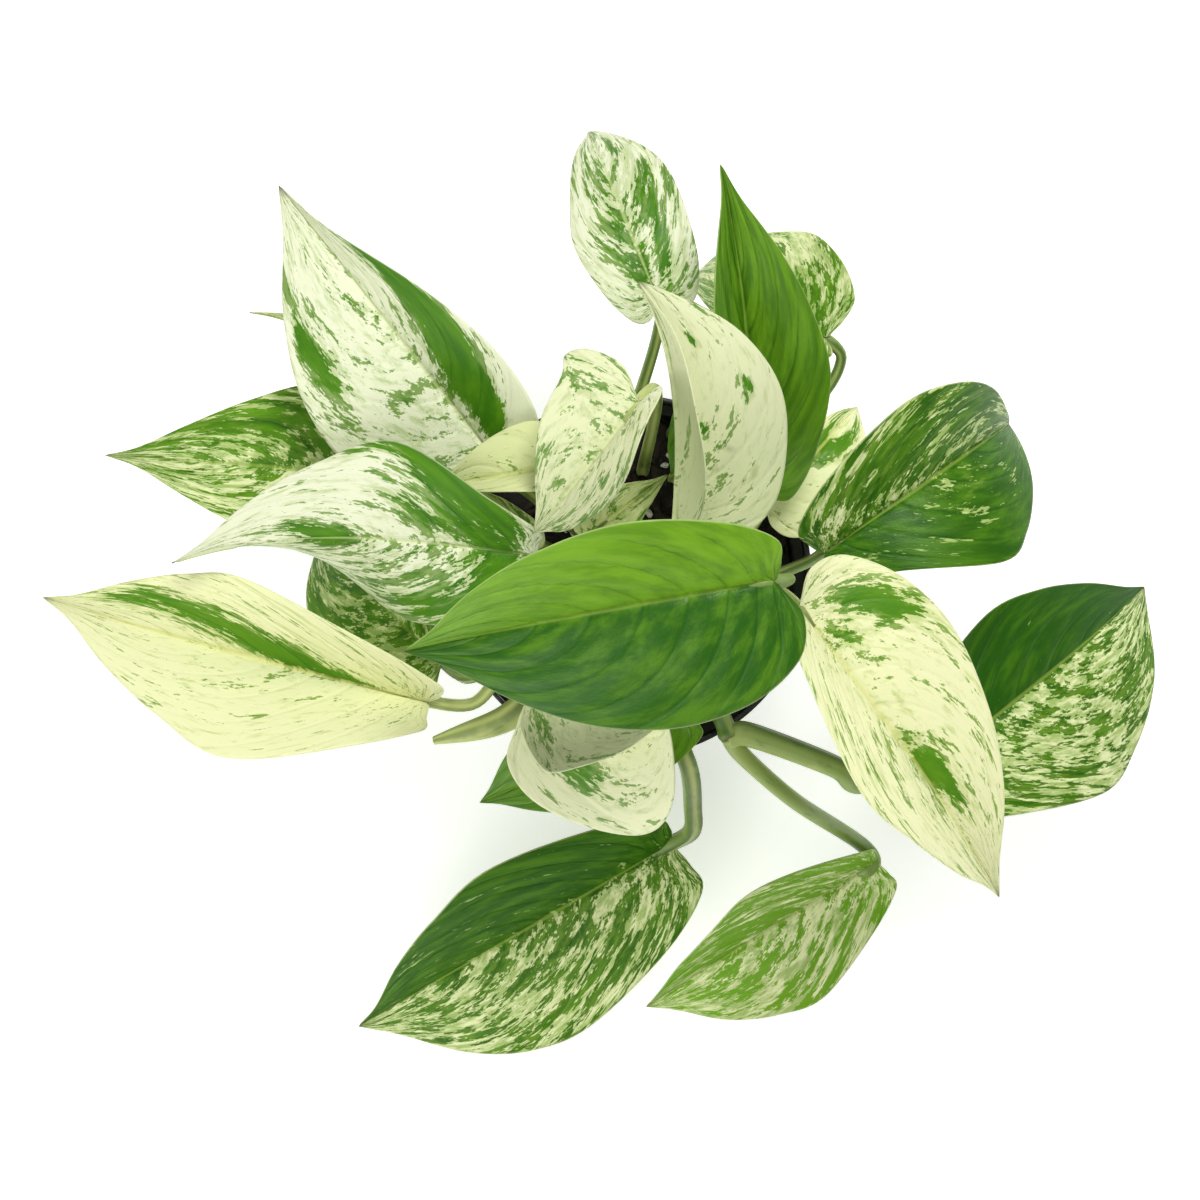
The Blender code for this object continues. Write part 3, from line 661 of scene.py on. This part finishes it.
def make_blade(node, design, midrib, seed, finishes):
    columns = [-c for c in reversed(HALF_COLUMNS[1:])] + list(HALF_COLUMNS)
    rows = [i / BLADE_ROWS for i in range(BLADE_ROWS + 1)]
    sheet = np.array([[blade_point(midrib, r, c)[:] for c in columns] for r in rows])
    low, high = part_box(node)
    sheet += (np.array(low) + np.array(high) - sheet.min(axis=(0, 1)) - sheet.max(axis=(0, 1))) / 2
    row, across = np.meshgrid(rows, columns, indexing="ij")
    points = sheet + blade_normals(sheet) * relief(design, row, across, seed)[..., None]

    mesh = bpy.data.meshes.new(node.replace("leaf", "blade"))
    mesh.from_pydata(points.reshape(-1, 3).tolist(), [], sheet_faces(len(rows), len(columns)))
    width = np.where(across > 0, *design.width) / 10
    give_uv(mesh, "veins", across * width, vein_place(row, across) * design.length / 10)
    give(mesh, "green", paint_green(design, row, across))
    # Painted light: per-half lightness of the green, standing in for light through the blade and for
    # shade.
    give(mesh, "youth", by_half(design.look.youth, across))
    give(mesh, "reach", np.abs(across))
    give(mesh, "brown", paint_brown(design, row, across))
    give(mesh, "seed", np.full(row.shape, seed))
    rib = np.exp(-(np.abs(across) * width * 10 * MM / RIB_WIDTH) ** 2) * (1 - row) ** 0.7
    give(mesh, "rib", rib)
    weld(mesh, BLADE_WELD)

    piece = place_piece(node.replace("leaf", "blade"), mesh, finishes, f"{design.skin}_leaf", node)
    thickness = piece.vertex_groups.new(name="thickness")
    thin = BLADE_THICKNESS / RIB_THICKNESS
    for vertex, share in zip(mesh.vertices, mesh.attributes["rib"].data):
        thickness.add([vertex.index], thin + (1 - thin) * share.value, "REPLACE")
    shell = piece.modifiers.new("flesh", "SOLIDIFY")
    shell.thickness = RIB_THICKNESS
    shell.vertex_group = thickness.name
    shell.offset = -1
    shell.material_offset = 1
    shell.material_offset_rim = 1
    shell.use_even_offset = False
    return piece


# ---------------------------------------------------------------- stems

def bezier(a, b, c, d, t):
    u = 1 - t
    return a * u ** 3 + b * 3 * u * u * t + c * 3 * u * t * t + d * t ** 3


def soil_height(radius):
    return SOIL_EDGE_Z + SOIL_DOME * (1 - min(radius / (RIM_RADIUS - 5 * MM), 1.0) ** 2)


def emerge(root, radius):
    """Where a stem leaves the soil, and a point straight over that."""
    x, y = (v * MM for v in root)
    start = Vector((x, y, soil_height(math.hypot(x, y)) + radius * 0.6))
    return [start, start + Vector((0, 0, 3 * radius))]


def over_rim(direction_deg, beyond=0.0, above=0.0):
    """A point over the pot's lip, clear of it, in a direction from the pot's axis."""
    angle = math.radians(direction_deg)
    radius = RIM_RADIUS + beyond * MM
    lift = VINE_RADIUS + LIP_CLEARANCE + above * MM
    return Vector((radius * math.cos(angle), radius * math.sin(angle), POT_HEIGHT + lift))


def arrival(midrib):
    """Where a petiole comes up under its blade, and the direction it comes in."""
    place, forward, _, up = midrib.stations[0]
    direction = (forward * ARRIVAL_FORWARD + up * ARRIVAL_UP).normalized()
    return place - direction * BLADE_CLEARANCE, direction


def arrival_behind(midrib, radius):
    """Where a petiole that comes down to its blade ends, just behind the sinus."""
    place, forward, _, _ = midrib.stations[0]
    return place - forward * (radius + BEHIND_CLEARANCE)


def petiole_stops(design, midrib):
    start = emerge(design.root, design.stalk * MM)[0]
    end, direction = arrival(midrib)
    span = (end - start).length
    outward = Vector((end.x - start.x, end.y - start.y, 0)) * LEAN_SHARE
    lift = Vector((0, 0, max(span * RISE_SHARE, LEAST_LIFT))) + outward
    below = end - direction * span * REACH_SHARE
    return [bezier(start, start + lift, below, end, i / (PETIOLE_STOPS - 1))
            for i in range(PETIOLE_STOPS)]


def trailing_stops(ribs):
    """Stops of the petioles that trail over the lip or grow from the leaning vine."""
    tip = vine_stops()[-1]
    found = {}
    end = arrival(ribs["leaf_far_right"])[0]
    start = tip + Vector((2.4 * VINE_RADIUS, 0, 0))
    found["leaf_far_right"] = [start, start + Vector((24, -9, -1)) * MM,
                               end + Vector((-18, -4, -4)) * MM, end]
    end = arrival(ribs["leaf_front_right_low"])[0]
    start = tip + Vector((1.4 * VINE_RADIUS, -2.1 * VINE_RADIUS, -VINE_RADIUS))
    found["leaf_front_right_low"] = [start, start + Vector((16, -14, -8)) * MM,
                                     end + Vector((-6, 5, 0)) * MM, end]
    for name, root, angle in (("leaf_shade_left", (-24, -6), 212),
                              ("leaf_hidden_left", (-24, 20), 141)):
        end = arrival(ribs[name])[0]
        over = [over_rim(angle, -8, 1), over_rim(angle, 3, -1)]
        found[name] = emerge(root, LEAVES[name].stalk * MM) + over + [end]
    end = arrival_behind(ribs["leaf_front_low"], 2.6 * MM)
    found["leaf_front_low"] = emerge((8, -30), 2.6 * MM) + [
        over_rim(-74, -6, 1), over_rim(-73, 6, -6), end + Vector((3, 12, 22)) * MM,
        end + Vector((3, 3, 8)) * MM, end]
    end = arrival_behind(ribs["leaf_back_pale"], 1.6 * MM)
    found["leaf_back_pale"] = emerge((14, 30), 1.6 * MM) + [
        over_rim(57, -8, 1), over_rim(57, 3, -1), end + Vector((-1, -1, 10)) * MM, end]
    end = arrival(ribs["leaf_far_left_cream"])[0]
    found["leaf_far_left_cream"] = emerge((-20, -14), 2 * MM) + [
        over_rim(217, -8), over_rim(219, 6), end]
    return found


def vine_stops():
    return emerge((18, -18), VINE_RADIUS) + [over_rim(-55, -12, 1), over_rim(-58, 2)]


def bud_stops():
    return emerge((-22, -26), VINE_RADIUS) + [over_rim(231, -8, 1), over_rim(228, 4),
                                              over_rim(220, 22, -3)]


def stem_frames(path, facing):
    """A forward, a face and a side direction at each point, carried along without twist."""
    frames = []
    face = facing
    for i in range(len(path)):
        ahead = (path[min(i + 1, len(path) - 1)] - path[max(i - 1, 0)]).normalized()
        face = (face - ahead * face.dot(ahead)).normalized()
        frames.append((ahead, face, ahead.cross(face)))
    return frames


def swept(name, path, facing, ring, paleness, scar):
    """A closed stem mesh: ring(share, angle) is its radius at a share of its length."""
    frames = stem_frames(path, facing)
    count = len(path)
    shares = [i / (count - 1) for i in range(count)]
    angles = [math.tau * k / STEM_SIDES for k in range(STEM_SIDES)]
    points, pale, scars, around, along = [], [], [], [], []
    run = 0.0
    for i, (place, share) in enumerate(zip(path, shares)):
        _, face, side = frames[i]
        run += (place - path[max(i - 1, 0)]).length
        for k, angle in enumerate(angles):
            radius = ring(share, angle)
            points.append(place + (face * math.cos(angle) + side * math.sin(angle)) * radius)
            pale.append(paleness(share))
            scars.append(scar(share))
            around.append(abs(k - STEM_SIDES / 2) / STEM_SIDES)
            along.append(run * 100)
    faces = [(i * STEM_SIDES + k, i * STEM_SIDES + (k + 1) % STEM_SIDES,
              (i + 1) * STEM_SIDES + (k + 1) % STEM_SIDES, (i + 1) * STEM_SIDES + k)
             for i in range(count - 1) for k in range(STEM_SIDES)]
    faces.append(tuple(reversed(range(STEM_SIDES))))
    faces.append(tuple(range((count - 1) * STEM_SIDES, count * STEM_SIDES)))
    mesh = bpy.data.meshes.new(name)
    mesh.from_pydata([p[:] for p in points], [], faces)
    give_uv(mesh, "stem", around, along)
    give(mesh, "paleness", pale)
    give(mesh, "scar", scars)
    return mesh


def bump_at(share, centre, width):
    return math.exp(-((share - centre) / width) ** 2)


def petiole_ring(radius, winged):
    """A petiole's cross-section: channelled, winged by its sheath, with a knuckle at the blade."""
    def ring(share, angle):
        turn = math.atan2(math.sin(angle), math.cos(angle))
        size = radius * (1.0 + 0.32 * (1 - share) ** 3 + 0.16 * bump_at(share, 0.90, 0.035))
        size *= 1 - 0.45 * max(0.0, share - 0.93) / 0.07
        channel = 0.22 * math.exp(-(turn / 0.42) ** 2)
        wing = winged * math.exp(-((abs(turn) - 0.75) / 0.22) ** 2)
        wing *= min(1.0, max(0.0, (0.86 - share) * 6))
        return size * (1 - channel + wing)
    return ring


FROM_VINE = ("leaf_far_right", "leaf_front_right_low")


def make_petiole(node, leaf_node, design, midrib, stops, finish):
    """The petiole from below the soil's surface to the midrib's underside."""
    place, forward, _, up = midrib.stations[0]
    first = vine_stops()[-1] - Vector((0, 0, 1 * MM)) if leaf_node in FROM_VINE else (
        stops[0] - Vector((0, 0, ROOT_DEPTH)))
    tuck = [place + forward * MM - up * 1.7 * MM, place + forward * 7 * MM - up * 1.3 * MM]
    full = [first] + list(stops[:-1]) + tuck
    path = [Vector(spline(full, i / (STEM_POINTS - 1))) for i in range(STEM_POINTS)]
    pale = design.look.stem
    facing = Vector((-path[0].x, -path[0].y, 0.05 * MM)).normalized()
    mesh = swept(node.replace("petiole", "stalk"), path, facing,
                 petiole_ring(design.stalk * MM, 0.2 if design.stalk < 2 else 0.4),
                 lambda share: min(1.0, pale + 0.35 * (1 - share) ** 2),
                 lambda share: 0.25 * bump_at(share, 0.97, 0.012))
    return place_piece(node.replace("petiole", "stalk"), mesh, [finish], "petiole", node)


def make_vine(finish):
    """The leaning vine, with a swollen, scarred node where each leaf grew."""
    path = [Vector(spline(vine_stops(), i / (STEM_POINTS - 1))) for i in range(STEM_POINTS)]
    path[0] -= Vector((0, 0, ROOT_DEPTH))
    nodes = (0.35, 0.72, 0.97)

    def ring(share, angle):
        knot = sum(0.22 * bump_at(share, n, 0.03) for n in nodes)
        return VINE_RADIUS * (1.02 + knot + 0.05 * math.cos(3 * angle))

    mesh = swept("vine_right_stem", path, Vector((0, 1, 0)), ring, lambda share: 0.15,
                 lambda share: 0.8 * max(bump_at(share, n + 0.03, 0.008) for n in nodes))
    return place_piece("vine_right_stem", mesh, [finish], "vine", "vine_right")


def make_bud(finish):
    """A rolled new leaf in its pointed sheath."""
    radii = (0.7, 0.85, 1.0, 1.25, 1.5, 1.45, 1.15, 0.45)
    path = [Vector(spline(bud_stops(), i / (STEM_POINTS - 1))) for i in range(STEM_POINTS)]
    path[0] -= Vector((0, 0, BUD_DEPTH))

    def ring(share, angle):
        size = VINE_RADIUS * spline([(r,) for r in radii], share)[0]
        seam = 0.22 * bump_at(math.atan2(math.sin(angle), math.cos(angle)), 0.25, 0.16)
        return max(size, 0.15 * MM) * (1 - seam)

    mesh = swept("bud_left_sheath", path, Vector((0, 0.3, 1)).normalized(), ring,
                 lambda share: 0.4 + 0.5 * share, lambda share: 0.0)
    return place_piece("bud_left_sheath", mesh, [finish], "petiole", "bud_left")


# ---------------------------------------------------------------- pot and soil

def wall_radius(z):
    top = RIM_RADIUS - LIP_STEP
    return POT_BASE_RADIUS + (top - POT_BASE_RADIUS) * z / POT_HEIGHT


def turned(name, profile, steps):
    """A closed profile of (radius, height) pairs turned about Z."""
    shape = bmesh.new()
    ring = [shape.verts.new((r, 0, z)) for r, z in profile]
    edges = [shape.edges.new(pair) for pair in zip(ring, ring[1:])]
    bmesh.ops.spin(shape, geom=ring + edges, cent=(0, 0, 0), axis=(0, 0, 1), angle=math.tau,
                   steps=steps, use_merge=True)
    bmesh.ops.remove_doubles(shape, verts=shape.verts, dist=TURNED_WELD)
    bmesh.ops.recalc_face_normals(shape, faces=shape.faces)
    mesh = bpy.data.meshes.new(name)
    shape.to_mesh(mesh)
    shape.free()
    return mesh


def rounded(corners, radius, steps=4):
    """A polyline with its inner corners turned into small arcs."""
    found = [corners[0]]
    for before, corner, after in zip(corners, corners[1:], corners[2:]):
        b, c, a = (Vector(p) for p in (before, corner, after))
        cut = min(radius, (b - c).length / 2.2, (a - c).length / 2.2)
        start, end = c + (b - c).normalized() * cut, c + (a - c).normalized() * cut
        for i in range(steps + 1):
            t = i / steps
            spot = start * (1 - t) ** 2 + c * 2 * t * (1 - t) + end * t ** 2
            found.append((spot.x, spot.y))
    return found + [corners[-1]]


def make_pot(finish):
    lip_foot = POT_HEIGHT - LIP_HEIGHT
    outside = [
        (0, FLOOR_RAISE), (POT_BASE_RADIUS - 9 * MM, FLOOR_RAISE), (POT_BASE_RADIUS - 7 * MM, 0),
        (POT_BASE_RADIUS, 0), (wall_radius(6 * MM), 6 * MM),
        (wall_radius(6 * MM) + WALL_BEAD / 2, 7 * MM), (wall_radius(8 * MM), 8 * MM),
        (wall_radius(lip_foot - 8 * MM), lip_foot - 8 * MM),
        (wall_radius(lip_foot - 7 * MM) + WALL_BEAD, lip_foot - 7 * MM),
        (wall_radius(lip_foot - 6 * MM), lip_foot - 6 * MM),
        (wall_radius(lip_foot), lip_foot - 1.1 * MM), (RIM_RADIUS - 0.3 * MM, lip_foot),
        (RIM_RADIUS - 0.3 * MM, POT_HEIGHT - 2.2 * MM), (RIM_RADIUS, POT_HEIGHT - 1.6 * MM),
        (RIM_RADIUS, POT_HEIGHT), (RIM_RADIUS - POT_WALL - 0.4 * MM, POT_HEIGHT),
        (RIM_RADIUS - POT_WALL - 0.2 * MM, POT_HEIGHT - 2 * MM),
        (RIM_RADIUS - POT_WALL, lip_foot + LIP_STEP),
        (wall_radius(lip_foot) - POT_WALL, lip_foot), (wall_radius(POT_FLOOR) - POT_WALL, POT_FLOOR),
        (0, POT_FLOOR + 0.4 * MM),
    ]
    mesh = turned("nursery_pot", rounded(outside, CORNER_RADIUS), POT_STEPS)
    pot = place_piece("nursery_pot", mesh, [finish], "black_plastic", "pot")
    cutter_mesh = bpy.data.meshes.new("drain_cutter")
    tool = bmesh.new()
    for i in range(DRAIN_HOLES):
        angle = math.tau * i / DRAIN_HOLES
        made = bmesh.ops.create_cone(tool, cap_ends=True, segments=32, radius1=DRAIN_HOLE_RADIUS,
                                     radius2=DRAIN_HOLE_RADIUS, depth=4 * POT_FLOOR)
        bmesh.ops.translate(tool, verts=made["verts"], vec=(
            DRAIN_RING_RADIUS * math.cos(angle), DRAIN_RING_RADIUS * math.sin(angle), POT_FLOOR / 2))
    tool.to_mesh(cutter_mesh)
    tool.free()
    cutter = bpy.data.objects.new("drain_cutter", cutter_mesh)
    bpy.context.scene.collection.objects.link(cutter)
    drain = pot.modifiers.new("drain", "BOOLEAN")
    drain.object = cutter
    bpy.context.view_layer.update()
    cut = bpy.data.meshes.new_from_object(pot.evaluated_get(bpy.context.evaluated_depsgraph_get()))
    pot.modifiers.clear()
    pot.data = cut
    bpy.data.objects.remove(cutter)
    return pot


def make_soil(finish):
    """The soil's body: a lumpy top on a plug that fills the pot."""
    edge = wall_radius(SOIL_EDGE_Z) - POT_WALL - SOIL_GAP
    foot = SOIL_LOW.z
    foot_radius = wall_radius(foot) - POT_WALL - SOIL_GAP
    rings = 46
    profile = [(edge * i / rings, soil_height(edge * i / rings)) for i in range(rings + 1)]
    profile += [(foot_radius, foot), (0, foot)]
    mesh = turned("peat", profile, 110)
    for vertex in mesh.vertices:
        spread = math.hypot(vertex.co.x, vertex.co.y)
        if vertex.co.z < SOIL_EDGE_Z - 0.1 * MM:
            continue
        lump = noise.noise(vertex.co * 160) * 0.9 + noise.noise(vertex.co * 420) * 0.6
        hold = 1 - max(0.0, spread / edge - 0.93) / 0.07
        vertex.co.z += lump * MM * max(hold, 0.0) - 0.4 * MM
    return place_piece("peat", mesh, [finish], "soil", "soil")


def make_grains(name, finish, count, sizes, squash, seed, sink):
    """Loose grains scattered on the soil, each a lumpy pebble of its own."""
    dice = random.Random(seed)
    shape = bmesh.new()
    edge = wall_radius(SOIL_EDGE_Z) - POT_WALL - GRAIN_MARGIN
    for _ in range(count):
        spread = edge * math.sqrt(dice.random())
        angle = dice.uniform(0, math.tau)
        size = dice.uniform(*sizes) * MM
        made = bmesh.ops.create_icosphere(shape, subdivisions=2, radius=1.0)["verts"]
        offset = Vector((dice.uniform(0, 50), dice.uniform(0, 50), dice.uniform(0, 50)))
        heading = Vector((dice.uniform(-1, 1), dice.uniform(-1, 1), dice.uniform(-0.4, 0.4)))
        turn = heading.to_track_quat("X", "Z")
        scale = Vector([dice.uniform(*limits) for limits in squash])
        home = Vector((spread * math.cos(angle), spread * math.sin(angle),
                       soil_height(spread) + size * sink))
        for vertex in made:
            lump = 1 + 0.35 * noise.noise(vertex.co * 1.6 + offset)
            local = Vector((vertex.co.x * scale.x, vertex.co.y * scale.y, vertex.co.z * scale.z))
            vertex.co = home + (turn @ local) * size * lump
    mesh = bpy.data.meshes.new(name)
    shape.to_mesh(mesh)
    shape.free()
    return place_piece(name, mesh, [finish], "soil")


# ---------------------------------------------------------------- studio

CAMERA_HEIGHT = 1.0
CAMERA_SHIFT = Vector((-8.9, -7.1, 0)) * MM
CAMERA_LENS = 101.0
FLOOR_SIZE = 14.0
FLOOR_GLOW = 0.5
SKY_GLOW = 0.33


def soft_light(name, place, aim, size, power):
    data = bpy.data.lights.new(name, "AREA")
    data.shape = "DISK"
    data.size = size
    data.energy = power
    lamp = bpy.data.objects.new(name, data)
    lamp.location = place
    lamp.rotation_euler = (Vector(aim) - Vector(place)).to_track_quat("-Z", "Y").to_euler()
    bpy.context.scene.collection.objects.link(lamp)


def make_studio():
    half = FLOOR_SIZE / 2
    mesh = bpy.data.meshes.new("studio_floor")
    mesh.from_pydata([(-half, -half, 0), (half, -half, 0), (half, half, 0), (-half, half, 0)], [],
                     [(0, 1, 2, 3)])
    floor = bpy.data.objects.new("studio_floor", mesh)
    bpy.context.scene.collection.objects.link(floor)
    paper = Finish("studio_paper")
    grain = paper.noise(paper.object_place(), scale=700.0, detail=2.0)
    mesh.materials.append(paper.done(
        Base_Color=paper.blend(tint("fafafa"), tint("f4f4f4"), grain), Roughness=0.9,
        Emission_Color=(1, 1, 1, 1), Emission_Strength=FLOOR_GLOW))

    world = bpy.data.worlds.new("soft_white")
    world.use_nodes = True
    world.node_tree.nodes["Background"].inputs["Color"].default_value = (1.0, 1.0, 1.0, 1)
    world.node_tree.nodes["Background"].inputs["Strength"].default_value = SKY_GLOW
    bpy.context.scene.world = world
    soft_light("key_light", (0.35, 0.85, 1.6), (0, 0, 0.12), 0.6, 22)
    soft_light("fill_light", (-0.7, -0.9, 1.4), (0, 0, 0.12), 1.2, 8)
    soft_light("low_light", (-1.1, -1.3, 0.55), (0, 0, 0.15), 0.9, 9)

    data = bpy.data.cameras.new("camera")
    data.lens = CAMERA_LENS
    camera = bpy.data.objects.new("camera", data)
    camera.location = Vector((0, 0, POT_HEIGHT + CAMERA_HEIGHT)) + CAMERA_SHIFT
    bpy.context.scene.collection.objects.link(camera)
    bpy.context.scene.camera = camera
    bpy.context.scene.view_settings.view_transform = "Standard"


def make_plant():
    skins = {key: [leaf_finish(f"{key}_leaf_skin", palette, False),
                   leaf_finish(f"{key}_leaf_underside", palette, True)]
             for key, palette in PALETTES.items()}
    petiole_skin = stem_finish("petiole_skin", "c4cc7c", "587f28", "335616")
    vine_skin = stem_finish("vine_skin", "9cac5c", "5c8030", "3c5e1c")
    ribs = {name: Midrib(design) for name, design in LEAVES.items()}
    trailing = trailing_stops(ribs)
    for index, (name, design) in enumerate(LEAVES.items()):
        make_blade(name, design, ribs[name], 3.7 * (index + 1), skins[design.skin])
        stops = trailing[name] if name in trailing else petiole_stops(design, ribs[name])
        make_petiole(name.replace("leaf", "petiole"), name, design, ribs[name], stops, petiole_skin)
    make_vine(vine_skin)
    make_bud(petiole_skin)


make_plant()
make_pot(pot_finish())
make_soil(soil_finish())
make_grains("perlite", grain_finish("perlite_grain", "e2e0d8", "a8a294", 0.3 * MM), 46, (0.5, 1.5),
            ((0.8, 1.3), (0.7, 1.1), (0.6, 1.0)), 11, 0.2)
make_grains("bark_crumbs", grain_finish("bark", "2c2018", "0e0906", 0.3 * MM), 240, (0.6, 2.2),
            ((1.0, 2.2), (0.5, 0.9), (0.3, 0.6)), 23, 0.1)
make_studio()
